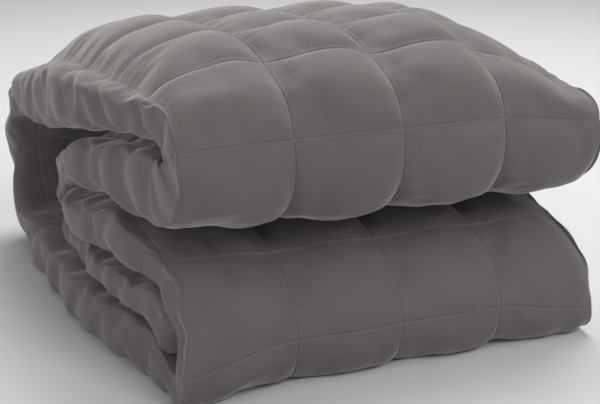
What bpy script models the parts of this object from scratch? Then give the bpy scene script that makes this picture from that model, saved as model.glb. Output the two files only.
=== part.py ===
"""Folded weighted blanket: one quilted strip wound into a bundle with two front lips.

The blanket is first folded lengthwise into a strip four quilted squares wide, then that strip
is wound in layers: an inner run, round the lower lip, along the underside, round the open loop
at the back, over the top, round the upper lip, and back inside round a small tucked loop.
The solid is that one strip, its layers a little apart. Metres, +Z up, front lips towards -Y.
"""
import math
from typing import NamedTuple

import bpy
import numpy as np


class Span(NamedTuple):
    """A stretch, in squares, over which something comes in smoothly."""
    start: float
    length: float


SQUARE = 0.1016          # side of one quilted square
SQUARES_ACROSS = 4       # squares between the two edge seams of the strip
ROWS_PER_SQUARE = 4      # mesh rows to a square along the strip
COLUMNS_PER_SQUARE = 4   # mesh columns to a square across the strip
SIDE_COLUMNS = 3         # mesh columns round each rounded side
LAYER_PART = 0.93        # part of its full thickness a layer keeps, so that layers stay apart

# The sizes below are in squares, unless they say otherwise.
CHANNEL = 0.105          # depth of the lengthwise channels between the puffs
EDGE_CHANNEL = 0.010     # depth of the seams along the two edges
CROSS_DIP = 0.048        # depth of the cross seams
PUFF_LEAN = 1.5          # above 1, a puff falls more steeply on its right
PUFF_FULLNESS = 0.65     # power of a puff's arch: below 1, the puff is fuller than an arch
CROSS_SHARE = 0.35       # part of a cross seam's depth left where a channel crosses it
DIP_LIMIT = 0.45         # deepest dip as a part of the half thickness
CROWN = 0.40             # rise of the middle of the top
CROWN_FROM = (1.90, 1.25)      # heights where that rise starts, at the front and the back
CROWN_TOP = 2.50         # height at which the rise is full
CROWN_AT_FRONT = 0.25    # part of the rise left at the very front
CROWN_FRONT = 1.30       # depth over which the crown rises behind the lips
CROWN_BACK = Span(3.9, 1.8)    # depths over which the crown dies away
CROWN_START = Span(0.5, 1.2)   # depths over which the start changes from front to back
LIFT_LIMIT = 1.2         # highest lift, as a part of the full one
LIFT_POWER = 1.5         # above 1, the rise comes in late
LEFT_SHOULDER = (1.20, 1.05)   # width of the crown's fall to the left, at the front and the back
SHOULDER_POWER = 1.4     # above 1, the left shoulder is less full
SHOULDER_DEPTH = Span(0.6, 2.4)        # depths over which both shoulders change width
RIGHT_SHOULDER = (1.25, 0.75)  # width of its fall to the right, at the front and the back
REAR_FALL = 0.20         # how far the left side of the top falls at the back
REAR_DEPTH = Span(2.6, 2.0)    # depths over which that fall comes in
UPPER_LIP_DEPTH = Span(0.3, 1.6)       # depths over which the upper lip's forms die away
LOWER_LIP_DEPTH = Span(0.35, 1.1)      # depths over which the lower lip's drop dies away
LIP_SAG = 0.11           # how far the upper lip's belly hangs down
BELLY = (1.50, 0.35)     # height and spread of that belly
RIGHT_DROP = 0.17        # how much lower the upper lip's right end lies
RIGHT_DROP_ACROSS = Span(3.0, 1.1)     # places across over which that drop comes in
LOW_RIGHT_DROP = 0.15    # how much lower the lower lip's right end lies
LOW_RIGHT = (0.48, 0.30)       # height and spread of that drop
LOW_RIGHT_ACROSS = Span(2.9, 1.1)      # places across over which it comes in
CORNER_SAG = (-0.05, -0.16)    # lower left corner: forwards, and down
CORNER = (0.38, 0.28)    # height and spread of that corner's sag
CORNER_ACROSS = Span(0.0, 0.9)         # places across over which it dies away
CORNER_DEPTH = Span(0.1, 0.8)          # depths over which it dies away
LEFT_LEAN = 0.09         # how far the lower lip's left end leans in at its top
LEFT_LEAN_FOOT = -0.35   # part of that lean at its foot: the foot stands out
LEFT_LEAN_ACROSS = Span(0.0, 1.1)      # places across over which the lean dies away
LEFT_LEAN_DEPTH = Span(0.35, 0.9)      # depths over which it dies away
LEFT_LEAN_HEIGHT = Span(0.5, 0.5)      # heights over which it comes in
RIGHT_LEAN = 0.20        # how far its right end leans in
RIGHT_LEAN_ACROSS = Span(3.0, 1.0)     # places across over which that lean comes in
RIGHT_LEAN_DEPTH = Span(1.0, 1.5)      # depths over which it dies away
RIGHT_LEAN_HEIGHT = Span(0.75, 0.45)   # heights over which it comes in
LEAN_END = Span(1.15, 0.30)            # heights over which both leans end
FACE_FLARE = 0.06        # how much the faces widen towards the back
FACE_FLARE_WIDTH = 1.3   # width of face that takes part in that flare
FLARE_DEPTH = Span(0.1, 2.6)   # depths over which the flare and the sides' reach come in
SIDE_AT_FRONT = 0.06     # how far a side stands past its edge seam at the lips
LEFT_SIDE_AT_BACK = 0.38       # how far the left side stands past its edge seam at the back
RIGHT_SIDE_AT_BACK = 0.20      # how far the right side does
REACH_LIMIT = 1.6        # furthest reach of a side as a part of the half thickness
SIDE_BOXINESS = 0.50     # 1 is a round side, less is a squarer one
LEFT_ROUNDING = 0.45     # width of the rounding at the left side
RIGHT_ROUNDING = 0.90    # width of the rounding at the right side
LEFT_EDGE = 0.93         # part of the thickness left at the left edge seam
RIGHT_EDGE = 0.66        # part of the thickness left at the right edge seam
GROUND_SINK = 0.065      # how much of the underside is pressed flat
PRESS_HEIGHT = 1.2       # height above which that pressing is no longer felt


class Station(NamedTuple):
    """One station of the strip's middle line, in squares."""
    depth: float
    height: float
    thickness: float


class SeamMark(NamedTuple):
    """Where a numbered cross seam lies, as a distance along the strip, in squares."""
    distance: float
    seam: float


class Fullness(NamedTuple):
    """How full the puffs are near a numbered cross seam: 1 is full, less is pressed flatter."""
    seam: float
    part: float


INNER_RUN = (
    Station(3.12, 1.00, 0.12),
    Station(2.95, 1.03, 0.34),
    Station(2.65, 1.07, 0.48),
    Station(2.25, 1.10, 0.54),
    Station(1.75, 1.12, 0.54),
    Station(1.25, 1.10, 0.47),
)
LOWER_LIP = (
    Station(0.80, 1.02, 0.35),
    Station(0.40, 0.82, 0.31),
    Station(0.18, 0.54, 0.30),
    Station(0.23, 0.29, 0.34),
    Station(0.50, 0.22, 0.43),
)
UNDERSIDE = (
    Station(0.95, 0.25, 0.51),
    Station(1.60, 0.25, 0.52),
    Station(2.60, 0.25, 0.51),
    Station(3.60, 0.25, 0.49),
    Station(4.45, 0.27, 0.48),
)
BACK_LOOP = (
    Station(5.02, 0.37, 0.46),
    Station(5.34, 0.68, 0.45),
    Station(5.42, 1.06, 0.45),
    Station(5.30, 1.43, 0.46),
    Station(4.98, 1.75, 0.51),
    Station(4.50, 1.90, 0.65),
)
TOP = (
    Station(3.90, 1.99, 0.74),
    Station(3.20, 2.09, 0.72),
    Station(2.40, 2.18, 0.63),
    Station(1.70, 2.26, 0.52),
    Station(1.10, 2.32, 0.42),
)
UPPER_LIP = (
    Station(0.66, 2.33, 0.40),
    Station(0.36, 2.27, 0.42),
    Station(0.26, 2.10, 0.45),
    Station(0.30, 1.90, 0.55),
    Station(0.54, 1.76, 0.66),
)
UPPER_INNER_RUN = (
    Station(0.95, 1.74, 0.70),
    Station(1.60, 1.71, 0.60),
    Station(2.10, 1.65, 0.54),
    Station(2.50, 1.55, 0.46),
    Station(2.85, 1.42, 0.40),
)
TUCKED_LOOP = (
    Station(3.18, 1.27, 0.36),
    Station(3.36, 1.02, 0.30),
    Station(3.28, 0.79, 0.28),
    Station(3.05, 0.67, 0.28),
)
TUCKED_END = (
    Station(2.70, 0.65, 0.29),
    Station(2.30, 0.66, 0.31),
    Station(1.80, 0.67, 0.33),
    Station(1.20, 0.67, 0.37),
    Station(0.74, 0.65, 0.39),
    Station(0.38, 0.59, 0.27),
)
STRIP = (INNER_RUN + LOWER_LIP + UNDERSIDE + BACK_LOOP + TOP + UPPER_LIP
         + UPPER_INNER_RUN + TUCKED_LOOP + TUCKED_END)

CURVE_STEPS = 24         # points of the smooth curve between two stations

SEAM_MARKS = (
    SeamMark(0.00, 0.22),
    SeamMark(2.58, 3.00),
    SeamMark(3.56, 4.00),
    SeamMark(13.80, 14.00),
    SeamMark(16.54, 17.00),
    SeamMark(24.33, 25.20),
)
FULLNESS = (
    Fullness(3.9, 1.0),
    Fullness(4.5, 0.3),
    Fullness(8.3, 0.3),
    Fullness(9.2, 1.0),
    Fullness(10.5, 1.0),
    Fullness(11.5, 0.6),
    Fullness(15.2, 0.6),
    Fullness(16.2, 1.0),
)


def clear_scene() -> None:
    """Remove every object from the scene."""
    for obj in list(bpy.data.objects):
        bpy.data.objects.remove(obj, do_unlink=True)


def ease(values: np.ndarray) -> np.ndarray:
    """Smooth step from 0 to 1 as the values go from 0 to 1."""
    t = np.clip(values, 0.0, 1.0)
    return t * t * (3.0 - 2.0 * t)


def part_of(values: np.ndarray, span: Span) -> np.ndarray:
    """Part of a span that the values have passed: 0 at its start, 1 at its end."""
    return (values - span.start) / span.length


def comes_in(values: np.ndarray, span: Span) -> np.ndarray:
    """Smooth step from 0 to 1 over a span."""
    return ease(part_of(values, span))


def dies_away(values: np.ndarray, span: Span) -> np.ndarray:
    """Smooth step from 1 to 0 over a span."""
    return 1.0 - comes_in(values, span)


def arch(values: np.ndarray) -> np.ndarray:
    """Quarter of a round arch, from 0 to 1 as the values go from 0 to 1."""
    t = np.clip(values, 0.0, 1.0)
    return np.sqrt(1.0 - (1.0 - t) ** 2)


def smooth_curve(points: np.ndarray) -> np.ndarray:
    """Centripetal Catmull-Rom curve through the points, spaced by their first two columns."""
    ends = np.vstack([2 * points[0] - points[1], points, 2 * points[-1] - points[-2]])
    pieces = []
    for index in range(len(points) - 1):
        p0, p1, p2, p3 = ends[index:index + 4]
        gaps = [math.sqrt(np.linalg.norm((b - a)[:2])) for a, b in ((p0, p1), (p1, p2), (p2, p3))]
        t0, t1 = 0.0, gaps[0]
        t2 = t1 + gaps[1]
        t3 = t2 + gaps[2]
        t = np.linspace(t1, t2, CURVE_STEPS, endpoint=False)[:, None]
        a1 = (t1 - t) / (t1 - t0) * p0 + (t - t0) / (t1 - t0) * p1
        a2 = (t2 - t) / (t2 - t1) * p1 + (t - t1) / (t2 - t1) * p2
        a3 = (t3 - t) / (t3 - t2) * p2 + (t - t2) / (t3 - t2) * p3
        b1 = (t2 - t) / (t2 - t0) * a1 + (t - t0) / (t2 - t0) * a2
        b2 = (t3 - t) / (t3 - t1) * a2 + (t - t1) / (t3 - t1) * a3
        pieces.append((t2 - t) / (t2 - t1) * b1 + (t - t1) / (t2 - t1) * b2)
    pieces.append(points[-1:])
    return np.vstack(pieces)


def strip_rows() -> tuple[np.ndarray, np.ndarray, np.ndarray]:
    """Rows along the strip: middle line with thickness, outward direction, seam number."""
    line = smooth_curve(np.array(STRIP, dtype=float))
    travel = np.gradient(line[:, :2], axis=0)
    travel /= np.linalg.norm(travel, axis=1)[:, None]
    outward = np.stack([travel[:, 1], -travel[:, 0]], axis=1)
    half = outward * line[:, 2:3] / 2
    skins = [np.linalg.norm(np.diff(line[:, :2] + side * half, axis=0), axis=1) for side in (1, -1)]
    distance = np.concatenate([[0.0], np.cumsum(np.maximum(*skins))])
    seam = np.interp(distance, [m.distance for m in SEAM_MARKS], [m.seam for m in SEAM_MARKS])
    first = math.ceil(seam[0] * ROWS_PER_SQUARE) / ROWS_PER_SQUARE
    inside = np.arange(first, seam[-1], 1.0 / ROWS_PER_SQUARE)
    wanted = np.unique(np.concatenate([[seam[0]], inside, [seam[-1]]]))
    rows = np.stack([np.interp(wanted, seam, line[:, k]) for k in range(3)], axis=1)
    normals = np.stack([np.interp(wanted, seam, outward[:, k]) for k in range(2)], axis=1)
    normals /= np.linalg.norm(normals, axis=1)[:, None]
    return rows, normals, wanted


def side_reach(depth: np.ndarray, at_back: float) -> np.ndarray:
    """How far a rounded side stands past its edge seam at a depth, in squares."""
    return SIDE_AT_FRONT + (at_back - SIDE_AT_FRONT) * comes_in(depth, FLARE_DEPTH)


def section_columns() -> list[tuple[float, float, float]]:
    """Columns round one section: (place across in squares, side reach factor, face -1..1).

    The outer face runs from right to left, then come the left side, the inner face from left
    to right, and the right side.
    """
    count = SQUARES_ACROSS * COLUMNS_PER_SQUARE
    across = [k / COLUMNS_PER_SQUARE for k in range(count + 1)]
    turns = [math.pi * (k + 1) / (SIDE_COLUMNS + 1) for k in range(SIDE_COLUMNS)]
    reach = [math.sin(turn) ** SIDE_BOXINESS for turn in turns]
    face = [math.copysign(abs(math.cos(turn)) ** SIDE_BOXINESS, math.cos(turn)) for turn in turns]
    columns = [(x, 0.0, 1.0) for x in reversed(across)]
    columns += [(0.0, -r, f) for r, f in zip(reach, face)]
    columns += [(x, 0.0, -1.0) for x in across]
    columns += [(float(SQUARES_ACROSS), r, -f) for r, f in zip(reach, face)]
    return columns


def side_rounding(across: float) -> float:
    """Part of the full thickness left near the sides, where the faces round off."""
    left = min(max(across, 0.0) / LEFT_ROUNDING, 1.0)
    right = min(max(SQUARES_ACROSS - across, 0.0) / RIGHT_ROUNDING, 1.0)
    left_part = LEFT_EDGE + (1 - LEFT_EDGE) * math.sqrt(1 - (1 - left) ** 2)
    right_part = RIGHT_EDGE + (1 - RIGHT_EDGE) * math.sqrt(1 - (1 - right) ** 2)
    return min(left_part, right_part)


def quilt_dip(along: np.ndarray, across: float, leaning: bool) -> np.ndarray:
    """Depth of the cloth below a puff's full height at a place on the strip, in squares."""
    part = across % 1.0
    if leaning:
        part = part ** PUFF_LEAN
    dome = abs(math.sin(math.pi * part)) ** PUFF_FULLNESS
    near_edge = min(across, SQUARES_ACROSS - across) < 0.5
    channel = EDGE_CHANNEL if near_edge else CHANNEL
    fullness = np.interp(along, [f.seam for f in FULLNESS], [f.part for f in FULLNESS])
    cross = 1.0 - np.sqrt(np.abs(np.sin(math.pi * along)))
    cross_depth = CROSS_DIP * (CROSS_SHARE + (1.0 - CROSS_SHARE) * dome)
    return fullness * (channel * (1.0 - dome) + cross_depth * cross)


def bump(height: np.ndarray, middle: float, spread: float) -> np.ndarray:
    """Smooth bump of height 1 round a middle height."""
    return np.exp(-((height - middle) / spread) ** 2)


def crown_rise(x: np.ndarray, y: np.ndarray, z: np.ndarray) -> np.ndarray:
    """How far the filling raises a place of the top, in squares."""
    backness = comes_in(y, SHOULDER_DEPTH)
    left = LEFT_SHOULDER[0] + (LEFT_SHOULDER[1] - LEFT_SHOULDER[0]) * backness
    right = RIGHT_SHOULDER[0] + (RIGHT_SHOULDER[1] - RIGHT_SHOULDER[0]) * backness
    edge = arch(x / left) ** SHOULDER_POWER * ease((SQUARES_ACROSS - x) / right)
    front = CROWN_AT_FRONT + (1.0 - CROWN_AT_FRONT) * ease(y / CROWN_FRONT)
    back = dies_away(y, CROWN_BACK)
    start = CROWN_FROM[0] + (CROWN_FROM[1] - CROWN_FROM[0]) * comes_in(y, CROWN_START)
    lift = np.clip((z - start) / (CROWN_TOP - start), 0.0, LIFT_LIMIT)
    at_upper_lip = dies_away(y, UPPER_LIP_DEPTH)
    drop = RIGHT_DROP * comes_in(x, RIGHT_DROP_ACROSS) * at_upper_lip * np.minimum(lift, 1.0)
    sag = LIP_SAG * ease(x / left) * bump(z, *BELLY) * at_upper_lip
    rear = comes_in(y, REAR_DEPTH) * np.minimum(lift, 1.0)
    fall = REAR_FALL * (1.0 - arch(x + LEFT_SIDE_AT_BACK)) * rear
    return CROWN * edge * front * back * lift ** LIFT_POWER - drop - sag - fall


def low_drop(x: np.ndarray, y: np.ndarray, z: np.ndarray) -> np.ndarray:
    """How much lower the lower lip's right end lies, in squares."""
    at_lower_lip = dies_away(y, LOWER_LIP_DEPTH)
    return LOW_RIGHT_DROP * comes_in(x, LOW_RIGHT_ACROSS) * at_lower_lip * bump(z, *LOW_RIGHT)


def corner_part(x: np.ndarray, y: np.ndarray, z: np.ndarray) -> np.ndarray:
    """How much a place belongs to the sagging lower left corner."""
    return dies_away(x, CORNER_ACROSS) * dies_away(y, CORNER_DEPTH) * bump(z, *CORNER)


def flared(x: np.ndarray, y: np.ndarray) -> np.ndarray:
    """Widen the faces towards the back."""
    left = 1.0 - ease(x / FACE_FLARE_WIDTH)
    right = 1.0 - ease((SQUARES_ACROSS - x) / FACE_FLARE_WIDTH)
    return x + FACE_FLARE * comes_in(y, FLARE_DEPTH) * (right - left)


def lean(x: np.ndarray, y: np.ndarray, z: np.ndarray) -> np.ndarray:
    """How far the lower lip's ends lean inwards at their top, in squares."""
    left = dies_away(x, LEFT_LEAN_ACROSS) * dies_away(y, LEFT_LEAN_DEPTH)
    left = left * np.clip(part_of(z, LEFT_LEAN_HEIGHT), LEFT_LEAN_FOOT, 1.0) * LEFT_LEAN
    right = comes_in(x, RIGHT_LEAN_ACROSS) * dies_away(y, RIGHT_LEAN_DEPTH)
    right = right * np.clip(part_of(z, RIGHT_LEAN_HEIGHT), 0.0, 1.0) * RIGHT_LEAN
    return (left - right) * dies_away(z, LEAN_END)


def pressed_down(z: np.ndarray) -> np.ndarray:
    """Let the lowest layers settle, so that the underside is flat on the ground."""
    share = np.clip(1.0 - z / PRESS_HEIGHT, 0.0, 1.0)
    return np.maximum(z - GROUND_SINK * share ** 2, 0.0)


def settled(x: np.ndarray, y: np.ndarray, z: np.ndarray) -> np.ndarray:
    """Give points the bundle's crown, sags, leans and flat underside, as rows of XYZ."""
    corner = corner_part(x, y, z)
    height = z + crown_rise(x, y, z) - low_drop(x, y, z) + CORNER_SAG[1] * corner
    place = flared(x, y) + lean(x, y, z)
    return np.stack([place, y + CORNER_SAG[0] * corner, pressed_down(height)], axis=1)


def strip_points() -> np.ndarray:
    """Points of the strip's skin as rows by columns by XYZ, in squares."""
    rows, normals, along = strip_rows()
    skin = []
    for across, reach, face in section_columns():
        half = rows[:, 2] / 2 * LAYER_PART * side_rounding(across)
        on_face = 1.0 if reach == 0.0 else 0.0
        dip = np.minimum(quilt_dip(along, across, face > 0.0) * on_face, DIP_LIMIT * half)
        offset = (half - dip) * face
        at_back = LEFT_SIDE_AT_BACK if reach < 0.0 else RIGHT_SIDE_AT_BACK
        side = np.minimum(side_reach(rows[:, 0], at_back), REACH_LIMIT * half)
        x = across + side * reach
        skin.append(settled(x, rows[:, 0] + normals[:, 0] * offset, rows[:, 1] + normals[:, 1] * offset))
    return np.stack(skin, axis=1)


def strip_faces(row_count: int, column_count: int) -> list[tuple[int, ...]]:
    """Quads round and along the skin, with a cap of quads closing each end."""
    faces = []
    for row in range(row_count - 1):
        for column in range(column_count):
            step = (column + 1) % column_count
            a, b = row * column_count + column, row * column_count + step
            faces.append((a, b, b + column_count, a + column_count))
    face_columns = SQUARES_ACROSS * COLUMNS_PER_SQUARE + 1
    for row, flip in ((0, False), (row_count - 1, True)):
        base = row * column_count
        faces += end_cap(base, face_columns, flip)
    return faces


def end_cap(base: int, face_columns: int, flip: bool) -> list[tuple[int, ...]]:
    """Faces that close one end of the strip, joining its outer face to its inner face."""
    inner_start = face_columns + SIDE_COLUMNS
    caps = []
    for k in range(face_columns - 1):
        outer = base + face_columns - 1 - k
        inner = base + inner_start + k
        caps.append((outer, outer - 1, inner + 1, inner))
    left = [base + face_columns - 1 + k for k in range(SIDE_COLUMNS + 2)]
    right_start = inner_start + face_columns - 1
    right = [base + right_start + k for k in range(SIDE_COLUMNS + 1)] + [base]
    caps += [tuple(reversed(left)), tuple(reversed(right))]
    return [tuple(reversed(face)) for face in caps] if flip else caps


def fabric_material() -> bpy.types.Material:
    """Charcoal grey brushed cloth."""
    material = bpy.data.materials.new("charcoal_cloth")
    material.use_nodes = True
    shader = material.node_tree.nodes["Principled BSDF"]
    shader.inputs["Base Color"].default_value = (0.115, 0.105, 0.100, 1.0)
    shader.inputs["Roughness"].default_value = 0.82
    shader.inputs["Metallic"].default_value = 0.0
    return material


def build_blanket() -> bpy.types.Object:
    """The folded blanket as one closed solid, standing on the ground over the origin."""
    points = strip_points() * SQUARE
    row_count, column_count = points.shape[:2]
    flat = points.reshape(-1, 3)
    middle = (flat.min(axis=0) + flat.max(axis=0)) / 2
    flat = flat - np.array([middle[0], middle[1], 0.0])
    mesh = bpy.data.meshes.new("blanket")
    mesh.from_pydata(flat.tolist(), [], strip_faces(row_count, column_count))
    mesh.update()
    mesh.shade_smooth()
    mesh.materials.append(fabric_material())
    blanket = bpy.data.objects.new("blanket", mesh)
    bpy.context.scene.collection.objects.link(blanket)
    return blanket


clear_scene()
build_blanket()
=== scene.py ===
"""Looks of the folded weighted blanket: its quilted cloth, its studio floor, lights and camera."""
import logging
import math
from dataclasses import dataclass, field
from enum import Enum
from typing import NamedTuple

import bpy
import numpy as np
from mathutils import Matrix, Vector


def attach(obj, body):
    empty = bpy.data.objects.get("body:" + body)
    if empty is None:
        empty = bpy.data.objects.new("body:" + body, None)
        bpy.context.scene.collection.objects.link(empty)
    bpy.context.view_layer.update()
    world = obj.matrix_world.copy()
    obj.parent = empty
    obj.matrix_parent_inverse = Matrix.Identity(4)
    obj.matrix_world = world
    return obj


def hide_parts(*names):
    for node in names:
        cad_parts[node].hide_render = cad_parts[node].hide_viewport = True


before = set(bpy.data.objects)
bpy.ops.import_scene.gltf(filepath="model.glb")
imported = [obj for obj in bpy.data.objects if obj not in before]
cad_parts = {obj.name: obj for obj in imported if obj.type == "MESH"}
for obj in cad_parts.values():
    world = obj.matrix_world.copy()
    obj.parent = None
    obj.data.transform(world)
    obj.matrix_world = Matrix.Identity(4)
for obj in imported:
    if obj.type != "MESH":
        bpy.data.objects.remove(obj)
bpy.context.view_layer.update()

LOG = logging.getLogger("weighted_blanket")

SQUARE = 0.1016           # side of one quilted square, metres
ACROSS = 4                # squares between the edge seams
MIDDLE_X = 1.910          # middle of the bundle's box, in squares from the left edge seam
MIDDLE_Y = 2.817          # middle of the bundle's box, in squares behind the front
EDGE_SEAMS = (0, ACROSS, ACROSS + 1, 2 * ACROSS + 1, 2 * ACROSS + 2)   # edge seams round the strip
QUILT = "quilt"           # name of the cloth's own numbers: seams along, seams around, seam weight
ON_SEAM = 1e-4            # seam numbers closer than this to a whole one lie on that seam
WHOLE_SHIFT = 50.0        # whole number that makes every seam number positive
CURVE_STEPS = 24          # points of a smooth curve between two stations

Colour = tuple[float, float, float]
Stretch = tuple[float, float, float]
Socket = bpy.types.NodeSocket


class Panel(Enum):
    """The four panels met on the way round the strip."""

    OUTER = 0
    LEFT_SIDE = 1
    INNER = 2
    RIGHT_SIDE = 3


class Span(NamedTuple):
    """A stretch, in squares, over which something comes in smoothly."""

    start: float
    length: float


class Station(NamedTuple):
    """One station of the strip's middle line, in squares."""

    depth: float
    height: float
    thickness: float


class SeamMark(NamedTuple):
    """Where a numbered cross seam lies, as a distance along the strip, in squares."""

    distance: float
    seam: float


class Slip(NamedTuple):
    """How far the inner face's seams run ahead of the outer face's at a seam, in squares."""

    seam: float
    ahead: float


class Fullness(NamedTuple):
    """How full the puffs are near a numbered cross seam: 1 is full, less is pressed flatter."""

    seam: float
    part: float


class Column(NamedTuple):
    """One column of the cloth round the strip."""

    panel: Panel
    place: float      # place across the bundle in squares, or part of the way round a side
    around: float     # seam number round the strip


class Lamp(NamedTuple):
    """One soft square lamp: its place and size in metres, its power in watts."""

    name: str
    place: tuple[float, float, float]
    size: float
    power: float


INNER_RUN = (
    Station(3.12, 1.00, 0.12),
    Station(2.95, 1.03, 0.34),
    Station(2.65, 1.07, 0.48),
    Station(2.25, 1.10, 0.54),
    Station(1.75, 1.12, 0.54),
    Station(1.25, 1.10, 0.47),
)
LOWER_LIP = (
    Station(0.80, 1.02, 0.35),
    Station(0.40, 0.82, 0.31),
    Station(0.18, 0.54, 0.30),
    Station(0.23, 0.29, 0.34),
    Station(0.50, 0.22, 0.43),
)
UNDERSIDE = (
    Station(0.95, 0.25, 0.51),
    Station(1.60, 0.25, 0.52),
    Station(2.60, 0.25, 0.51),
    Station(3.60, 0.25, 0.49),
    Station(4.45, 0.27, 0.48),
)
BACK_LOOP = (
    Station(5.02, 0.37, 0.46),
    Station(5.34, 0.68, 0.45),
    Station(5.42, 1.06, 0.45),
    Station(5.30, 1.43, 0.46),
    Station(4.98, 1.75, 0.51),
    Station(4.50, 1.90, 0.65),
)
TOP = (
    Station(3.90, 1.99, 0.74),
    Station(3.20, 2.09, 0.72),
    Station(2.40, 2.18, 0.63),
    Station(1.70, 2.26, 0.52),
    Station(1.10, 2.32, 0.42),
)
UPPER_LIP = (
    Station(0.66, 2.33, 0.40),
    Station(0.36, 2.27, 0.42),
    Station(0.26, 2.10, 0.45),
    Station(0.30, 1.90, 0.55),
    Station(0.54, 1.76, 0.66),
)
UPPER_INNER_RUN = (
    Station(0.95, 1.74, 0.70),
    Station(1.60, 1.71, 0.60),
    Station(2.10, 1.65, 0.54),
    Station(2.50, 1.55, 0.46),
    Station(2.85, 1.42, 0.40),
)
TUCKED_LOOP = (
    Station(3.18, 1.27, 0.36),
    Station(3.36, 1.02, 0.30),
    Station(3.28, 0.79, 0.28),
    Station(3.05, 0.67, 0.28),
)
TUCKED_END = (
    Station(2.70, 0.65, 0.29),
    Station(2.30, 0.66, 0.31),
    Station(1.80, 0.67, 0.33),
    Station(1.20, 0.67, 0.37),
    Station(0.72, 0.64, 0.41),
    Station(0.40, 0.55, 0.33),
)
STRIP = (INNER_RUN + LOWER_LIP + UNDERSIDE + BACK_LOOP + TOP + UPPER_LIP
         + UPPER_INNER_RUN + TUCKED_LOOP + TUCKED_END)
SEAM_MARKS = (
    SeamMark(0.00, 0.22),
    SeamMark(2.58, 3.00),
    SeamMark(3.56, 4.00),
    SeamMark(13.80, 14.00),
    SeamMark(16.54, 17.00),
    SeamMark(24.33, 25.20),
)
FULLNESS = (
    Fullness(3.9, 1.0),
    Fullness(4.5, 0.3),
    Fullness(8.3, 0.3),
    Fullness(9.2, 1.0),
    Fullness(10.5, 1.0),
    Fullness(11.5, 0.6),
    Fullness(15.2, 0.6),
    Fullness(16.2, 1.0),
)
SLIPS = (
    Slip(0.0, 0.0),
    Slip(3.0, 0.0),
    Slip(5.0, -0.35),
    Slip(8.5, -0.9),
    Slip(10.0, 0.2),
    Slip(11.5, 1.2),
    Slip(14.8, 1.2),
    Slip(16.2, 0.4),
    Slip(18.0, 0.0),
    Slip(26.0, 0.0),
)


def ease(values: np.ndarray) -> np.ndarray:
    """Smooth step from 0 to 1 as the values go from 0 to 1."""
    t = np.clip(values, 0.0, 1.0)
    return t * t * (3.0 - 2.0 * t)


def part_of(values: np.ndarray, span: Span) -> np.ndarray:
    """Part of a span that the values have passed: 0 at its start, 1 at its end."""
    return (values - span.start) / span.length


def comes_in(values: np.ndarray, span: Span) -> np.ndarray:
    """Smooth step from 0 to 1 over a span."""
    return ease(part_of(values, span))


def dies_away(values: np.ndarray, span: Span) -> np.ndarray:
    """Smooth step from 1 to 0 over a span."""
    return 1.0 - comes_in(values, span)


def arch(values: np.ndarray) -> np.ndarray:
    """Quarter of a round arch, from 0 to 1 as the values go from 0 to 1."""
    t = np.clip(values, 0.0, 1.0)
    return np.sqrt(1.0 - (1.0 - t) ** 2)


def bump(height: np.ndarray, middle: float, spread: float) -> np.ndarray:
    """Smooth bump of height 1 round a middle height."""
    return np.exp(-((height - middle) / spread) ** 2)


def smooth_curve(points: np.ndarray) -> np.ndarray:
    """Draw a centripetal Catmull-Rom curve through points.

    Args:
        points: rows whose first two columns set the spacing of the curve.

    Returns:
        The curve's points, with as many columns as the input.
    """
    ends = np.vstack([2 * points[0] - points[1], points, 2 * points[-1] - points[-2]])
    pieces = []
    for index in range(len(points) - 1):
        p0, p1, p2, p3 = ends[index:index + 4]
        gaps = [math.sqrt(np.linalg.norm((b - a)[:2])) for a, b in ((p0, p1), (p1, p2), (p2, p3))]
        t0, t1 = 0.0, gaps[0]
        t2 = t1 + gaps[1]
        t3 = t2 + gaps[2]
        t = np.linspace(t1, t2, CURVE_STEPS, endpoint=False)[:, None]
        a1 = (t1 - t) / (t1 - t0) * p0 + (t - t0) / (t1 - t0) * p1
        a2 = (t2 - t) / (t2 - t1) * p1 + (t - t1) / (t2 - t1) * p2
        a3 = (t3 - t) / (t3 - t2) * p2 + (t - t2) / (t3 - t2) * p3
        b1 = (t2 - t) / (t2 - t0) * a1 + (t - t0) / (t2 - t0) * a2
        b2 = (t3 - t) / (t3 - t1) * a2 + (t - t1) / (t3 - t1) * a3
        pieces.append((t2 - t) / (t2 - t1) * b1 + (t - t1) / (t2 - t1) * b2)
    pieces.append(points[-1:])
    return np.vstack(pieces)


@dataclass(frozen=True)
class StripPath:
    """The route of the strip through the bundle, in squares."""

    stations: tuple[Station, ...] = STRIP
    marks: tuple[SeamMark, ...] = SEAM_MARKS
    rows_per_square: int = 10

    def rows(self) -> tuple[np.ndarray, np.ndarray, np.ndarray]:
        """Lay evenly numbered rows along the strip.

        Returns:
            Middle line with thickness, outward direction, and seam number of each row.
        """
        line = smooth_curve(np.array(self.stations, dtype=float))
        travel = np.gradient(line[:, :2], axis=0)
        travel /= np.linalg.norm(travel, axis=1)[:, None]
        outward = np.stack([travel[:, 1], -travel[:, 0]], axis=1)
        half = outward * line[:, 2:3] / 2
        skins = [np.linalg.norm(np.diff(line[:, :2] + side * half, axis=0), axis=1)
                 for side in (1, -1)]
        distance = np.concatenate([[0.0], np.cumsum(np.maximum(*skins))])
        seam = np.interp(distance, [m.distance for m in self.marks], [m.seam for m in self.marks])
        first = math.ceil(seam[0] * self.rows_per_square) / self.rows_per_square
        wanted = np.arange(first, seam[-1] + ON_SEAM, 1.0 / self.rows_per_square)
        rows = np.stack([np.interp(wanted, seam, line[:, k]) for k in range(3)], axis=1)
        normals = np.stack([np.interp(wanted, seam, outward[:, k]) for k in range(2)], axis=1)
        normals /= np.linalg.norm(normals, axis=1)[:, None]
        return rows, normals, wanted


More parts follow.
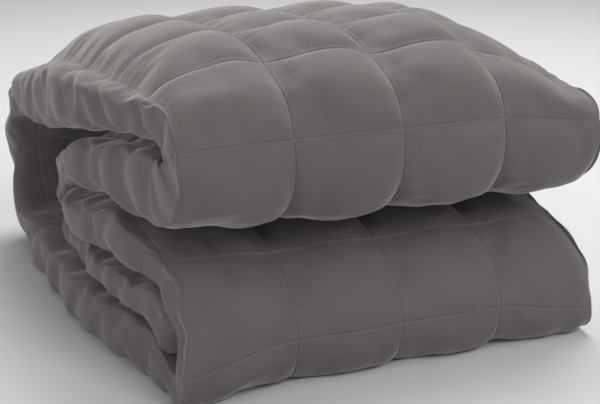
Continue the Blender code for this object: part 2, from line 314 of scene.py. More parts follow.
@dataclass(frozen=True)
class BundleShape:
    """Large forms of the bundle that every layer shares, in squares.

    A pair is a value at the front and one at the back, or a height and a spread, or the left and
    the right one, as its comment says. A Span is where a form comes in or dies away.
    """

    crown: float = 0.40                              # rise of the top's middle
    crown_from: tuple[float, float] = (1.90, 1.25)   # height where the rise starts, front, back
    crown_start: Span = Span(0.5, 1.2)               # depths over which that start changes
    crown_top: float = 2.50                          # height at which it rises in full
    crown_at_front: float = 0.25                     # part of the rise left at the very front
    crown_front: float = 1.30                        # depth over which it rises behind the lips
    crown_back: Span = Span(3.9, 1.8)                # depths over which it dies away
    lift_limit: float = 1.2
    lift_power: float = 1.5                          # above 1, the rise comes in late
    left_shoulder: tuple[float, float] = (1.20, 1.05)    # width of the crown's fall, front, back
    right_shoulder: tuple[float, float] = (1.25, 0.75)
    shoulder_depth: Span = Span(0.6, 2.4)            # depths over which both widths change
    shoulder_power: float = 1.4                      # above 1, the left shoulder is less full
    upper_lip_depth: Span = Span(0.3, 1.6)           # depths over which the lip's forms die away
    lip_sag: float = 0.11                            # how far the upper lip's belly hangs down
    belly: tuple[float, float] = (1.50, 0.35)        # height and spread of that belly
    right_drop: float = 0.17                         # how much lower the upper lip's right end is
    right_drop_across: Span = Span(3.0, 1.1)
    rear_fall: float = 0.20                          # how far the top's left side falls behind
    rear_depth: Span = Span(2.6, 2.0)
    low_drop: float = 0.15                           # how much lower the lower lip's right end is
    low_drop_across: Span = Span(2.9, 1.1)
    low_drop_depth: Span = Span(0.35, 1.1)
    low_drop_height: tuple[float, float] = (0.48, 0.30)  # height and spread
    corner_sag: tuple[float, float] = (-0.05, -0.16)     # lower left corner, forwards and down
    corner_across: Span = Span(0.0, 0.9)
    corner_depth: Span = Span(0.1, 0.8)
    corner_height: tuple[float, float] = (0.38, 0.28)    # height and spread
    left_lean: float = 0.09                          # how far the lower lip's left end leans in
    left_lean_foot: float = -0.35                    # part of that lean at its foot
    left_lean_across: Span = Span(0.0, 1.1)
    left_lean_depth: Span = Span(0.35, 0.9)
    left_lean_height: Span = Span(0.5, 0.5)
    right_lean: float = 0.20                         # how far its right end leans in
    right_lean_across: Span = Span(3.0, 1.0)
    right_lean_depth: Span = Span(1.0, 1.5)
    right_lean_height: Span = Span(0.75, 0.45)
    lean_end: Span = Span(1.15, 0.30)                # heights over which both leans end
    edge_wave: float = 0.016                         # sideways wave of the lower lip's left edge
    edge_wave_rate: float = 21.0                     # radians a square of height
    edge_wave_across: Span = Span(0.0, 0.5)
    edge_wave_depth: Span = Span(0.35, 0.5)
    face_flare: float = 0.06                         # how much the faces widen towards the back
    face_flare_width: float = 1.3
    flare_depth: Span = Span(0.1, 2.6)               # depths over which flare and reach come in
    side_at_front: float = 0.06                      # how far a side stands past its edge seam
    side_at_back: tuple[float, float] = (0.38, 0.20)     # left, right
    side_boxiness: float = 0.50                      # 1 is a round side, less is a squarer one
    left_rounding: float = 0.45                      # width of the rounding at the left side
    right_rounding: float = 0.90
    left_edge: float = 0.93                          # part of the thickness left at the left seam
    right_edge: float = 0.66
    reach_limit: float = 1.6                         # furthest reach as a part of half thickness
    ground_sink: float = 0.065                       # how much of the underside is pressed flat
    press_height: float = 1.2

    def settled(self, x: np.ndarray, y: np.ndarray, z: np.ndarray) -> np.ndarray:
        """Give points the bundle's crown, sags, leans, flare and flat underside.

        Args:
            x: places across.
            y: depths.
            z: heights.

        Returns:
            The moved points as rows of XYZ.
        """
        corner = dies_away(x, self.corner_across) * dies_away(y, self.corner_depth)
        corner = corner * bump(z, *self.corner_height)
        depth = y + self.corner_sag[0] * corner
        height = self.pressed_down(z + self.rise(x, y, z) + self.corner_sag[1] * corner)
        return np.stack([self.flared(x, y) + self.leaning(x, y, z), depth, height], axis=1)

    def rise(self, x: np.ndarray, y: np.ndarray, z: np.ndarray) -> np.ndarray:
        """Work out how far places rise with the crown, less what sags and drops.

        Args:
            x: places across.
            y: depths.
            z: heights.

        Returns:
            The rise of each place.
        """
        backness = comes_in(y, self.shoulder_depth)
        left = self.left_shoulder[0] + (self.left_shoulder[1] - self.left_shoulder[0]) * backness
        right = self.right_shoulder[0] + (self.right_shoulder[1] - self.right_shoulder[0]) * backness
        edge = arch(x / left) ** self.shoulder_power * ease((ACROSS - x) / right)
        front = self.crown_at_front + (1.0 - self.crown_at_front) * ease(y / self.crown_front)
        late = comes_in(y, self.crown_start)
        start = self.crown_from[0] + (self.crown_from[1] - self.crown_from[0]) * late
        lift = np.clip((z - start) / (self.crown_top - start), 0.0, self.lift_limit)
        crown = self.crown * edge * front * dies_away(y, self.crown_back) * lift ** self.lift_power
        at_upper_lip = dies_away(y, self.upper_lip_depth)
        sag = self.lip_sag * ease(x / left) * bump(z, *self.belly) * at_upper_lip
        top = np.minimum(lift, 1.0)
        drop = self.right_drop * comes_in(x, self.right_drop_across) * at_upper_lip * top
        rear = comes_in(y, self.rear_depth) * top
        fall = self.rear_fall * (1.0 - arch(x + self.side_at_back[0])) * rear
        low = dies_away(y, self.low_drop_depth) * bump(z, *self.low_drop_height)
        return crown - sag - drop - fall - self.low_drop * comes_in(x, self.low_drop_across) * low

    def leaning(self, x: np.ndarray, y: np.ndarray, z: np.ndarray) -> np.ndarray:
        """Work out how far the lower lip's ends lean inwards, with the wave of its left edge.

        Args:
            x: places across.
            y: depths.
            z: heights.

        Returns:
            The sideways move of each place.
        """
        left = dies_away(x, self.left_lean_across) * dies_away(y, self.left_lean_depth)
        left = left * np.clip(part_of(z, self.left_lean_height), self.left_lean_foot, 1.0) * self.left_lean
        wave = dies_away(x, self.edge_wave_across) * dies_away(y, self.edge_wave_depth)
        left = left + self.edge_wave * np.sin(z * self.edge_wave_rate) * wave
        right = comes_in(x, self.right_lean_across) * dies_away(y, self.right_lean_depth)
        right = right * np.clip(part_of(z, self.right_lean_height), 0.0, 1.0) * self.right_lean
        return (left - right) * dies_away(z, self.lean_end)

    def flared(self, x: np.ndarray, y: np.ndarray) -> np.ndarray:
        """Widen the faces towards the back.

        Args:
            x: places across.
            y: depths.

        Returns:
            The places across after the flare.
        """
        left = 1.0 - ease(x / self.face_flare_width)
        right = 1.0 - ease((ACROSS - x) / self.face_flare_width)
        return x + self.face_flare * comes_in(y, self.flare_depth) * (right - left)

    def pressed_down(self, z: np.ndarray) -> np.ndarray:
        """Let the lowest layers settle, so that the underside is flat on the ground."""
        share = np.clip(1.0 - z / self.press_height, 0.0, 1.0)
        return np.maximum(z - self.ground_sink * share ** 2, 0.0)

    def side_reach(self, depth: np.ndarray, at_right: bool) -> np.ndarray:
        """How far a side stands past its edge seam at a depth."""
        growth = self.side_at_back[at_right] - self.side_at_front
        return self.side_at_front + growth * comes_in(depth, self.flare_depth)

    def edge_part(self, across: float) -> float:
        """Work out the part of the full thickness left where the faces round off.

        Args:
            across: place across in squares.

        Returns:
            Part of the thickness, 1 away from the sides.
        """
        left = min(max(across, 0.0) / self.left_rounding, 1.0)
        right = min(max(ACROSS - across, 0.0) / self.right_rounding, 1.0)
        left_part = self.left_edge + (1 - self.left_edge) * math.sqrt(1 - (1 - left) ** 2)
        right_part = self.right_edge + (1 - self.right_edge) * math.sqrt(1 - (1 - right) ** 2)
        return min(left_part, right_part)


@dataclass(frozen=True)
class Filling:
    """The weight beads and wadding that swell the cloth between its seams."""

    pressure: float = 4.0
    frames: int = 20
    puff_limit: float = 0.008      # furthest a point may swell, metres
    quality: int = 5
    cloth_mass: float = 0.25       # kilograms a mesh point, as Blender counts it
    stretch_stiffness: float = 12.0
    shear_stiffness: float = 4.0
    bending_stiffness: float = 0.4
    air_damping: float = 2.0
    slack: float = -0.035          # below 0, the cloth is larger than its guide
    hold_step: float = 0.25        # steps in which the hold of the seams fades out

    def swell(self, blanket: bpy.types.Object, start: np.ndarray, nearness: np.ndarray) -> None:
        """Fill the cloth between its seams, and cap how far each point goes.

        Args:
            blanket: the cloth's object.
            start: its points, in metres.
            nearness: how close each point is to a seam, from 0 to 1.
        """
        held = blanket.vertex_groups.new(name="seams")
        for step in range(1, round(1.0 / self.hold_step) + 1):
            weight = step * self.hold_step
            inside = np.nonzero((nearness > weight - self.hold_step) & (nearness <= weight))[0]
            held.add([int(k) for k in inside], weight, "REPLACE")
        move = self.swollen(blanket, len(start)) - start
        length = np.linalg.norm(move, axis=1)[:, None]
        move *= self.puff_limit * np.tanh(length / self.puff_limit) / np.maximum(length, 1e-9)
        ended = start + move
        ended[:, 2] = np.maximum(ended[:, 2], 0.0)
        blanket.data.vertices.foreach_set("co", ended.ravel())
        blanket.data.update()
        LOG.info("filling moved the cloth %.1f mm at most", 1000 * float(length.max()))

    def swollen(self, blanket: bpy.types.Object, count: int) -> np.ndarray:
        """Run Blender's cloth on the blanket and take it off again.

        Args:
            blanket: the cloth's object, with its seams held by their vertex group.
            count: number of its points.

        Returns:
            The points after the last frame, in metres.
        """
        cloth = blanket.modifiers.new("filling", "CLOTH")
        settings = cloth.settings
        settings.quality = self.quality
        settings.mass = self.cloth_mass
        settings.tension_stiffness = self.stretch_stiffness
        settings.compression_stiffness = self.stretch_stiffness
        settings.shear_stiffness = self.shear_stiffness
        settings.bending_stiffness = self.bending_stiffness
        settings.air_damping = self.air_damping
        settings.shrink_min = self.slack
        settings.use_pressure = True
        settings.uniform_pressure_force = self.pressure
        settings.effector_weights.gravity = 0.0
        settings.vertex_group_mass = "seams"
        settings.pin_stiffness = 1.0
        scene = bpy.context.scene
        cloth.point_cache.frame_start = 1
        cloth.point_cache.frame_end = self.frames
        for number in range(1, self.frames + 1):
            scene.frame_set(number)
        shown = blanket.evaluated_get(bpy.context.evaluated_depsgraph_get())
        points = np.zeros(count * 3)
        shown.data.vertices.foreach_get("co", points)
        blanket.modifiers.remove(cloth)
        scene.frame_set(1)
        return points.reshape(-1, 3)


@dataclass
class QuiltedCloth:
    """The blanket's cover: a grid of cloth round the strip, sewn in squares and filled."""

    path: StripPath = field(default_factory=StripPath)
    shape: BundleShape = field(default_factory=BundleShape)
    filling: Filling = field(default_factory=Filling)
    outer_per_square: int = 10    # columns to a square on the outer face
    side_count: int = 14          # columns round the left side
    inner_per_square: int = 5     # columns to a square on the inner face
    right_count: int = 12         # columns round the right side
    channel: float = 0.105        # depth of the lengthwise channels, in squares
    edge_channel: float = 0.010   # depth of the seams along the edges
    cross_dip: float = 0.048      # depth of the cross seams
    side_dip: float = 0.060       # depth of the cross seams at the left side
    cross_share: float = 0.35     # part of a cross seam's depth left where a channel crosses it
    lean: float = 1.5             # above 1, puffs fall steeply on their right
    puff_fullness: float = 0.65   # power of a puff's arch: below 1, it is fuller than an arch
    side_fold: float = 0.030      # depth of the loose folds on the left side
    fold_rate: float = 5.6        # radians a square along the strip
    fold_slant: float = -3.2      # radians across the side
    fold_drift: float = 2.4       # how unevenly the folds are spaced
    fold_drift_rate: float = 1.7  # radians a square of that unevenness
    side_bow: float = 0.28        # how far the seams bow back half way round a side, in squares
    edge_seam_part: float = 0.25  # how plainly the edge seams show beside the others
    edge_seam_fade: float = 0.12  # distance over which seams come in beside an edge seam
    seam_grip: float = 1.6        # above 1, a narrower band beside each seam is held
    seam_crease: float = 0.75     # sharpness of the seams when the mesh is refined
    dip_limit: float = 0.45       # deepest dip as a part of the half thickness

    def columns(self) -> list[Column]:
        """List the columns round the strip, starting at the right of the outer face.

        Returns:
            The columns in order.
        """
        outer = ACROSS * self.outer_per_square
        inner = ACROSS * self.inner_per_square
        cols = [Column(Panel.OUTER, ACROSS - k / self.outer_per_square, k / self.outer_per_square)
                for k in range(outer)]
        cols += [Column(Panel.LEFT_SIDE, k / self.side_count, ACROSS + k / self.side_count)
                 for k in range(self.side_count)]
        cols += [Column(Panel.INNER, k / self.inner_per_square, ACROSS + 1 + k / self.inner_per_square)
                 for k in range(inner)]
        cols += [Column(Panel.RIGHT_SIDE, k / self.right_count, 2 * ACROSS + 1 + k / self.right_count)
                 for k in range(self.right_count)]
        return cols

    def dip(self, along: np.ndarray, around: float, half: np.ndarray) -> np.ndarray:
        """Work out how deep the cloth lies below a puff's full height, in squares.

        Args:
            along: seam numbers along the strip.
            around: seam number round the strip.
            half: half of the strip's thickness at each row.

        Returns:
            Depth at each row.
        """
        part = math.ceil(around) - around
        skewed = part ** self.lean if around < ACROSS else part
        dome = abs(math.sin(math.pi * skewed)) ** self.puff_fullness
        near_edge = min(abs(around - seam) for seam in EDGE_SEAMS) < 0.5
        channel = self.edge_channel if near_edge else self.channel
        full = np.interp(along, [f.seam for f in FULLNESS], [f.part for f in FULLNESS])
        to_side = max(0.0, 1.0 - abs(around - ACROSS - 0.5))
        cross_depth = self.cross_dip + (self.side_dip - self.cross_dip) * to_side
        cross_depth = cross_depth * (self.cross_share + (1.0 - self.cross_share) * dome)
        cross = 1.0 - np.sqrt(np.abs(np.sin(math.pi * along)))
        sink = channel * full * (1.0 - dome) + cross_depth * cross
        sink = sink + self.side_folds(along, around) * to_side
        return np.minimum(sink, self.dip_limit * half)

    def side_folds(self, along: np.ndarray, around: float) -> np.ndarray:
        """Work out the depth of the loose folds that run slantwise over the left side.

        Args:
            along: seam numbers along the strip.
            around: seam number round the strip.

        Returns:
            Depth at each row, in squares.
        """
        turn = self.fold_rate * along + self.fold_slant * (around - ACROSS)
        drift = self.fold_drift * np.sin(self.fold_drift_rate * along)
        return self.side_fold * (0.5 + 0.5 * np.sin(turn + drift))

    def slipped(self, seams: np.ndarray, column: Column) -> np.ndarray:
        """Shift the seam numbers along the strip by the slip between its two faces.

        Args:
            seams: seam numbers of the rows on the outer face.
            column: the column whose numbers are wanted.

        Returns:
            Seam numbers of the rows on that column.
        """
        ahead = np.interp(seams, [s.seam for s in SLIPS], [s.ahead for s in SLIPS])
        share = {Panel.OUTER: 0.0, Panel.LEFT_SIDE: column.place, Panel.INNER: 1.0,
                 Panel.RIGHT_SIDE: 1.0 - column.place}[column.panel]
        return seams - ahead * share

    def bowed(self, facing_up: np.ndarray, column: Column) -> np.ndarray:
        """How far the seams bow towards the back half way round a side, in squares."""
        on_side = column.panel in (Panel.LEFT_SIDE, Panel.RIGHT_SIDE)
        return self.side_bow * math.sin(math.pi * column.place) * facing_up * on_side

    def guide(self) -> tuple[np.ndarray, np.ndarray]:
        """Work out the cloth before it swells.

        Returns:
            Points as rows by columns by XYZ in squares, and seam numbers along and around.
        """
        rows, normals, seams = self.path.rows()
        skin, numbers = [], []
        for column in self.columns():
            x, reach, face = self.placed(column)
            half = rows[:, 2] / 2 * self.shape.edge_part(x)
            along = self.slipped(seams, column) + self.bowed(normals[:, 1], column)
            sink = self.dip(along, column.around, half)
            offset = half * face - sink * face
            side = self.shape.side_reach(rows[:, 0], x > ACROSS / 2)
            side = np.minimum(side, self.shape.reach_limit * half)
            px = x + (side - sink) * reach
            py = rows[:, 0] + normals[:, 0] * offset
            pz = rows[:, 1] + normals[:, 1] * offset
            skin.append(self.shape.settled(px, py, pz))
            numbers.append(np.stack([along, np.full_like(along, column.around)], axis=1))
        return np.stack(skin, axis=1), np.stack(numbers, axis=1)

    def placed(self, column: Column) -> tuple[float, float, float]:
        """Place a column on the strip's section.

        Args:
            column: the column.

        Returns:
            Place across in squares, side reach factor, and face from 1 (outer) to -1 (inner).
        """
        turn = math.pi * column.place
        reach = math.sin(turn) ** self.shape.side_boxiness
        face = math.copysign(abs(math.cos(turn)) ** self.shape.side_boxiness, math.cos(turn))
        if column.panel is Panel.OUTER:
            return column.place, 0.0, 1.0
        if column.panel is Panel.LEFT_SIDE:
            return 0.0, -reach, face
        if column.panel is Panel.INNER:
            return column.place, 0.0, -1.0
        return float(ACROSS), reach, -face

    def faces(self, row_count: int, column_count: int) -> list[tuple[int, ...]]:
        """Join the grid into quads, and close its two ends.

        Args:
            row_count: number of rows along the strip.
            column_count: number of columns round it.

        Returns:
            The faces as point numbers.
        """
        quads = []
        for row in range(row_count - 1):
            for column in range(column_count):
                step = (column + 1) % column_count
                a, b = row * column_count + column, row * column_count + step
                quads.append((a, b, b + column_count, a + column_count))
        first = tuple(reversed(range(column_count)))
        last = tuple((row_count - 1) * column_count + k for k in range(column_count))
        return quads + [first, last]

    def build(self, finish: "BrushedCloth") -> bpy.types.Object:
        """Build the swollen, sewn cloth.

        Args:
            finish: the finish of the cloth.

        Returns:
            The blanket as one object.
        """
        points, grid = self.guide()
        start = (points.reshape(-1, 3) - np.array([MIDDLE_X, MIDDLE_Y, 0.0])) * SQUARE
        numbers = grid.reshape(-1, 2)
        mesh = bpy.data.meshes.new("quilted_blanket")
        mesh.from_pydata(start.tolist(), [], self.faces(*points.shape[:2]))
        self.number_cloth(mesh, numbers)
        blanket = bpy.data.objects.new("quilted_blanket", mesh)
        bpy.context.scene.collection.objects.link(blanket)
        self.filling.swell(blanket, start, self.seam_nearness(numbers))
        self.crease_seams(blanket.data, numbers)
        self.refine(blanket)
        blanket.data.shade_smooth()
        blanket.data.materials.append(finish.material())
        return blanket

    def number_cloth(self, mesh: bpy.types.Mesh, numbers: np.ndarray) -> None:
        """Write the cloth's own numbers on its points, for the finish to follow.

        Args:
            mesh: the cloth's mesh.
            numbers: seam numbers along and around of each point.
        """
        quilt = mesh.attributes.new(QUILT, "FLOAT_VECTOR", "POINT")
        values = np.zeros((len(numbers), 3), dtype=np.float32)
        values[:, :2] = numbers
        values[:, 2] = self.seam_weight(values[:, 1])
        quilt.data.foreach_set("vector", values.ravel())
        mesh.update()

    def seam_weight(self, around: np.ndarray) -> np.ndarray:
        """How plainly a seam shows: in full on the faces, faintly along the edges."""
        gap = np.min([np.abs(around - seam) for seam in EDGE_SEAMS], axis=0)
        away = np.clip(gap / self.edge_seam_fade, 0.0, 1.0)
        return self.edge_seam_part + (1.0 - self.edge_seam_part) * away

    def seam_nearness(self, numbers: np.ndarray) -> np.ndarray:
        """Measure how close each point lies to a seam.

        Args:
            numbers: seam numbers along and around of each point.

        Returns:
            1 on a seam, and 0 before the next line of the mesh.
        """
        along = np.abs(numbers[:, 0] - np.round(numbers[:, 0])) * self.path.rows_per_square
        around = np.abs(numbers[:, 1] - np.round(numbers[:, 1])) * self.outer_per_square
        return np.clip(1.0 - np.minimum(along, around) * self.seam_grip, 0.0, 1.0)

    def crease_seams(self, mesh: bpy.types.Mesh, numbers: np.ndarray) -> None:
        """Keep the mesh crisp along the lengthwise and cross seams.

        Args:
            mesh: the cloth's mesh.
            numbers: seam numbers along and around of each point.
        """
        ends = np.zeros(len(mesh.edges) * 2, dtype=np.int64)
        mesh.edges.foreach_get("vertices", ends)
        a, b = ends.reshape(-1, 2).T
        on_seam = np.zeros(len(mesh.edges), dtype=bool)
        for number in numbers.T:
            sewn = np.abs(number - np.round(number)) < ON_SEAM
            on_seam |= sewn[a] & sewn[b] & (np.abs(number[a] - number[b]) < ON_SEAM)
        crease = mesh.attributes.new("crease_edge", "FLOAT", "EDGE")
        crease.data.foreach_set("value", np.where(on_seam, self.seam_crease, 0.0).astype(np.float32))

    def refine(self, blanket: bpy.types.Object) -> None:
        """Round the swollen cloth off with one subdivision.

        Args:
            blanket: the cloth's object.
        """
        rounder = blanket.modifiers.new("rounder", "SUBSURF")
        rounder.levels = 1
        rounder.render_levels = 1
        shown = blanket.evaluated_get(bpy.context.evaluated_depsgraph_get())
        finer = bpy.data.meshes.new_from_object(shown)
        blanket.modifiers.clear()
        blanket.data = finer


@dataclass(frozen=True)
class Weave:
    """A bench for patterns on the cloth: it adds nodes to one material's tree."""

    tree: bpy.types.NodeTree

    def eased(self, value: Socket, start: float, end: float) -> Socket:
        """Turn a value into a smooth step.

        Args:
            value: the value.
            start: where the step is 0.
            end: where the step is 1.

        Returns:
            The step.
        """
        step = self.tree.nodes.new("ShaderNodeMapRange")
        step.interpolation_type = "SMOOTHSTEP"
        step.inputs["From Min"].default_value = start
        step.inputs["From Max"].default_value = end
        self.tree.links.new(value, step.inputs["Value"])
        return step.outputs["Result"]

    def object_place(self) -> Socket:
        """Place in object space."""
        return self.tree.nodes.new("ShaderNodeTexCoord").outputs["Object"]

    def quilt_place(self, stretch: Stretch) -> Socket:
        """Place on the cloth, in squares.

        Args:
            stretch: scale along the strip and round it.

        Returns:
            The scaled place.
        """
        mapping = self.tree.nodes.new("ShaderNodeMapping")
        mapping.inputs["Scale"].default_value = stretch
        self.tree.links.new(self.quilt_numbers(), mapping.inputs["Vector"])
        return mapping.outputs["Vector"]

    def quilt_numbers(self) -> Socket:
        """Read the cloth's own numbers.

        Returns:
            Seams along, seams around and seam weight, as one vector.
        """
        numbers = self.tree.nodes.new("ShaderNodeAttribute")
        numbers.attribute_name = QUILT
        return numbers.outputs["Vector"]

    def noise(self, place: Socket, scale: float, detail: float) -> Socket:
        """Add a noise pattern.

        Args:
            place: where the pattern is read.
            scale: how fine it is.
            detail: how many finer layers it has.

        Returns:
            The pattern's value.
        """
        noise = self.tree.nodes.new("ShaderNodeTexNoise")
        noise.inputs["Scale"].default_value = scale
        noise.inputs["Detail"].default_value = detail
        self.tree.links.new(place, noise.inputs["Vector"])
        return noise.outputs["Fac"]

    def blended(self, first: Socket, second: Socket, part: float) -> Socket:
        """Blend two patterns.

        Args:
            first: the first pattern.
            second: the second pattern.
            part: share of the second.

        Returns:
            The blend.
        """
        blend = self.tree.nodes.new("ShaderNodeMix")
        blend.inputs["Factor"].default_value = part
        self.tree.links.new(first, blend.inputs["A"])
        self.tree.links.new(second, blend.inputs["B"])
        return blend.outputs["Result"]

    def two_tones(self, pattern: Socket, between: tuple[float, float], dark: Colour,
                  light: Colour) -> Socket:
        """Colour a pattern in two tones.

        Args:
            pattern: the pattern.
            between: values that get the dark tone and the light one.
            dark: the dark tone.
            light: the light tone.

        Returns:
            The colour.
        """
        ramp = self.tree.nodes.new("ShaderNodeValToRGB")
        for element, position, tone in zip(ramp.color_ramp.elements, between, (dark, light)):
            element.position = position
            element.color = (*tone, 1.0)
        self.tree.links.new(pattern, ramp.inputs["Fac"])
        return ramp.outputs["Color"]

    def dyed(self, base: Socket, tone: Colour, part: Socket) -> Socket:
        """Lay one tone over a colour.

        Args:
            base: the colour below.
            tone: the tone on top.
            part: how much of it shows.

        Returns:
            The colour.
        """
        layer = self.tree.nodes.new("ShaderNodeMix")
        layer.data_type = "RGBA"
        self.tree.links.new(part, layer.inputs["Factor"])
        self.tree.links.new(base, layer.inputs["A"])
        layer.inputs["B"].default_value = (*tone, 1.0)
        return layer.outputs["Result"]

    def combined(self, operation: str, first: Socket, second: Socket) -> Socket:
        """Combine two values.

        Args:
            operation: Blender's name of the operation.
            first: the first value.
            second: the second value.

        Returns:
            The result.
        """
        node = self.tree.nodes.new("ShaderNodeMath")
        node.operation = operation
        self.tree.links.new(first, node.inputs[0])
        self.tree.links.new(second, node.inputs[1])
        return node.outputs[0]

    def relief(self, height: Socket, strength: float, depth: float, below: Socket | None = None,
               sunk: bool = False) -> Socket:
        """Give the surface a fine relief.

        Args:
            height: pattern of the relief.
            strength: how plainly it shows.
            depth: its depth in metres.
            below: relief that it lies on, if any.
            sunk: whether high values go in instead of out.

        Returns:
            The surface direction.
        """
        bump_node = self.tree.nodes.new("ShaderNodeBump")
        bump_node.inputs["Strength"].default_value = strength
        bump_node.inputs["Distance"].default_value = depth
        bump_node.invert = sunk
        self.tree.links.new(height, bump_node.inputs["Height"])
        if below is not None:
            self.tree.links.new(below, bump_node.inputs["Normal"])
        return bump_node.outputs["Normal"]

    def seam_gaps(self) -> list[Socket]:
        """Measure from the seams.

        Returns:
            Distance to the nearest cross seam and lengthwise seam in squares, and how plainly
            the seams show there.
        """
        apart = self.tree.nodes.new("ShaderNodeSeparateXYZ")
        self.tree.links.new(self.quilt_numbers(), apart.inputs["Vector"])
        gaps = [self.gap_to_whole(apart.outputs[axis]) for axis in ("X", "Y")]
        return gaps + [apart.outputs["Z"]]

    def gap_to_whole(self, number: Socket) -> Socket:
        """Measure how far a seam number is from the nearest whole one.

        Args:
            number: the seam number.

        Returns:
            The distance, from 0 to 0.5.
        """
        shift = self.tree.nodes.new("ShaderNodeMath")
        shift.operation = "ADD"
        shift.inputs[1].default_value = WHOLE_SHIFT
        gap = self.tree.nodes.new("ShaderNodeMath")
        gap.operation = "PINGPONG"
        gap.inputs[1].default_value = 0.5
        self.tree.links.new(number, shift.inputs[0])
        self.tree.links.new(shift.outputs[0], gap.inputs[0])
        return gap.outputs[0]


@dataclass(frozen=True)
class BrushedCloth:
    """Warm charcoal microfibre with a short brushed nap."""

    dark: Colour = (0.104, 0.093, 0.090)
    light: Colour = (0.126, 0.1135, 0.110)
    # painted highlight: the lighter tone laid along each seam's stitched ridge
    seam: Colour = (0.130, 0.118, 0.1145)
    roughness: float = 0.72
    specular: float = 0.25
    sheen: float = 0.55
    sheen_roughness: float = 0.38
    sheen_tint: Colour = (0.85, 0.80, 0.78)
    tones_between: tuple[float, float] = (0.3, 0.7)
    patch_scale: float = 9.0
    patch_detail: float = 3.0
    thread_stretch: Stretch = (110.0, 5.0, 0.0)      # threads run across the strip
    thread_detail: float = 2.0
    thread_part: float = 0.45                        # share of the threads in the colour
    seam_highlight_line: tuple[float, float] = (0.012, 0.004)    # painted seam highlight, from a seam, in squares: 0, full
    groove_reach: float = 0.022                      # half width of a seam's groove, in squares
    groove_depth: float = 0.0014                     # metres
    groove_strength: float = 0.7
    pucker_reach: float = 0.42                       # how far the small folds run from a seam
    pucker_depth: float = 0.0045                     # metres
    pucker_strength: float = 0.6
    cross_pucker_stretch: Stretch = (0.9, 4.5, 0.0)
    length_pucker_stretch: Stretch = (4.5, 1.4, 0.0)
    pucker_detail: float = 1.0
    pile_scale: float = 700.0
    pile_detail: float = 3.0
    pile_thread_part: float = 0.6                    # share of the threads in the nap's relief
    pile_depth: float = 0.0004                       # metres
    pile_strength: float = 0.25

    def material(self) -> bpy.types.Material:
        """Make the cloth's material.

        Returns:
            The material.
        """
        material = bpy.data.materials.new("brushed_charcoal_cloth")
        material.use_nodes = True
        tree = material.node_tree
        shader = tree.nodes["Principled BSDF"]
        shader.inputs["Roughness"].default_value = self.roughness
        shader.inputs["Sheen Weight"].default_value = self.sheen
        shader.inputs["Sheen Roughness"].default_value = self.sheen_roughness
        shader.inputs["Sheen Tint"].default_value = (*self.sheen_tint, 1.0)
        shader.inputs["Specular IOR Level"].default_value = self.specular
        weave = Weave(tree)
        threads = weave.noise(weave.quilt_place(self.thread_stretch), 1.0, self.thread_detail)
        gaps = weave.seam_gaps()
        tree.links.new(self.colour(weave, threads, gaps), shader.inputs["Base Color"])
        tree.links.new(self.nap(weave, threads, gaps), shader.inputs["Normal"])
        return material

    def colour(self, weave: Weave, threads: Socket, gaps: list[Socket]) -> Socket:
        """Colour the cloth in two close tones, with a painted highlight: a lighter line on each seam.

        Args:
            weave: the bench.
            threads: pattern of the threads.
            gaps: distances to the seams and their weight.

        Returns:
            The colour.
        """
        cross_gap, length_gap, weight = gaps
        patches = weave.noise(weave.object_place(), self.patch_scale, self.patch_detail)
        pattern = weave.blended(patches, threads, self.thread_part)
        tones = weave.two_tones(pattern, self.tones_between, self.dark, self.light)
        nearest = weave.combined("MINIMUM", cross_gap, length_gap)
        line = weave.eased(nearest, *self.seam_highlight_line)
        # painted highlight: the lighter seam tone laid on a thin line over each seam
        return weave.dyed(tones, self.seam, weave.combined("MULTIPLY", line, weight))

    def nap(self, weave: Weave, threads: Socket, gaps: list[Socket]) -> Socket:
        """Give the cloth its seam grooves, the small folds beside them and its nap.

        Args:
            weave: the bench.
            threads: pattern of the threads.
            gaps: distances to the seams and their weight.

        Returns:
            The surface direction.
        """
        cross_gap, length_gap, weight = gaps
        nearest = weave.combined("MINIMUM", cross_gap, length_gap)
        groove = weave.combined("MULTIPLY", weave.eased(nearest, self.groove_reach, 0.0), weight)
        grooves = weave.relief(groove, self.groove_strength, self.groove_depth, sunk=True)
        folds = weave.combined("ADD", self.puckers(weave, cross_gap, self.cross_pucker_stretch),
                               self.puckers(weave, length_gap, self.length_pucker_stretch))
        folded = weave.relief(folds, self.pucker_strength, self.pucker_depth, grooves)
        pile = weave.noise(weave.object_place(), self.pile_scale, self.pile_detail)
        nap = weave.blended(pile, threads, self.pile_thread_part)
        return weave.relief(nap, self.pile_strength, self.pile_depth, folded)

    def puckers(self, weave: Weave, gap: Socket, stretch: Stretch) -> Socket:
        """Small folds that run away from a seam and die out beside it."""
        folds = weave.noise(weave.quilt_place(stretch), 1.0, self.pucker_detail)
        return weave.combined("MULTIPLY", folds, weave.eased(gap, self.pucker_reach, 0.0))


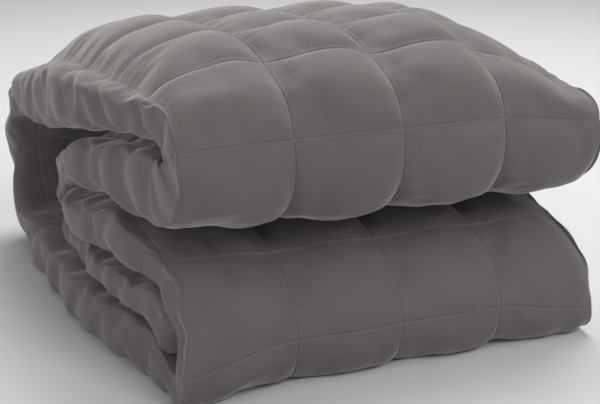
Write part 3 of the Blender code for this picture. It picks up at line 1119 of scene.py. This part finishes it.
@dataclass(frozen=True)
class Studio:
    """Pale floor, soft lights and the camera."""

    floor_size: float = 12.0       # metres
    floor_shade: float = 0.60
    floor_roughness: float = 0.9
    room_light: float = 0.40
    lamps: tuple[Lamp, ...] = (
        Lamp("overhead", (0.6, 0.9, 2.4), 1.8, 62.0),
        Lamp("right_front", (2.2, -1.2, 1.6), 0.8, 9.0),
        Lamp("left_side", (-2.1, -0.9, 0.30), 1.1, 15.0),
        Lamp("front", (0.6, -2.0, 1.65), 0.9, 22.0),
    )
    lamp_aim: tuple[float, float, float] = (0.0, 0.0, 0.12)             # metres
    camera_from: tuple[float, float, float] = (-2.863, -8.981, 4.629)   # in squares
    yaw: float = -23.23            # degrees
    pitch: float = 16.64
    roll: float = -0.16
    lens: float = 75.4             # millimetres
    sensor_width: float = 36.0

    def floor(self) -> bpy.types.Object:
        """Lay the pale floor.

        Returns:
            The floor.
        """
        half = self.floor_size / 2
        mesh = bpy.data.meshes.new("floor")
        corners = [(-half, -half, 0.0), (half, -half, 0.0), (half, half, 0.0), (-half, half, 0.0)]
        mesh.from_pydata(corners, [], [(0, 1, 2, 3)])
        floor = bpy.data.objects.new("floor", mesh)
        bpy.context.scene.collection.objects.link(floor)
        paint = bpy.data.materials.new("pale_floor")
        paint.use_nodes = True
        shader = paint.node_tree.nodes["Principled BSDF"]
        shader.inputs["Base Color"].default_value = (*[self.floor_shade] * 3, 1.0)
        shader.inputs["Roughness"].default_value = self.floor_roughness
        mesh.materials.append(paint)
        return floor

    def hang(self, lamp: Lamp) -> None:
        """Hang one soft square lamp that faces the blanket.

        Args:
            lamp: the lamp.
        """
        light = bpy.data.lights.new(lamp.name, "AREA")
        light.shape = "SQUARE"
        light.size = lamp.size
        light.energy = lamp.power
        hung = bpy.data.objects.new(lamp.name, light)
        hung.location = lamp.place
        aim = Vector(self.lamp_aim) - Vector(lamp.place)
        hung.rotation_euler = aim.to_track_quat("-Z", "Y").to_euler()
        bpy.context.scene.collection.objects.link(hung)

    def lights(self) -> None:
        """Set the white room and its soft lamps."""
        world = bpy.data.worlds.new("white_room")
        world.use_nodes = True
        background = world.node_tree.nodes["Background"]
        background.inputs["Color"].default_value = (1.0, 1.0, 1.0, 1.0)
        background.inputs["Strength"].default_value = self.room_light
        bpy.context.scene.world = world
        for lamp in self.lamps:
            self.hang(lamp)

    def camera(self) -> None:
        """Set the camera in front, a little to the left and above."""
        data = bpy.data.cameras.new("camera")
        data.lens = self.lens
        data.sensor_width = self.sensor_width
        camera = bpy.data.objects.new("camera", data)
        yaw, pitch, roll = (math.radians(v) for v in (self.yaw, self.pitch, self.roll))
        turn = (Matrix.Rotation(yaw, 4, "Z") @ Matrix.Rotation(math.pi / 2 - pitch, 4, "X")
                @ Matrix.Rotation(roll, 4, "Z"))
        x, y, z = self.camera_from
        place = Matrix.Translation(((x - MIDDLE_X) * SQUARE, (y - MIDDLE_Y) * SQUARE, z * SQUARE))
        camera.matrix_world = place @ turn
        bpy.context.scene.collection.objects.link(camera)
        bpy.context.scene.camera = camera


def main() -> None:
    """Build the blanket and its studio."""
    logging.basicConfig(level=logging.INFO, format="%(name)s: %(message)s")
    bpy.context.scene.view_settings.view_transform = "Standard"
    studio = Studio()
    studio.camera()
    studio.lights()
    studio.floor()
    LOG.info("studio ready")
    blanket = QuiltedCloth().build(BrushedCloth())
    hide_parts("blanket")
    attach(blanket, "root")
    cloth = blanket.data
    LOG.info("blanket ready: %d points, %d faces", len(cloth.vertices), len(cloth.polygons))


if __name__ == "__main__":
    main()
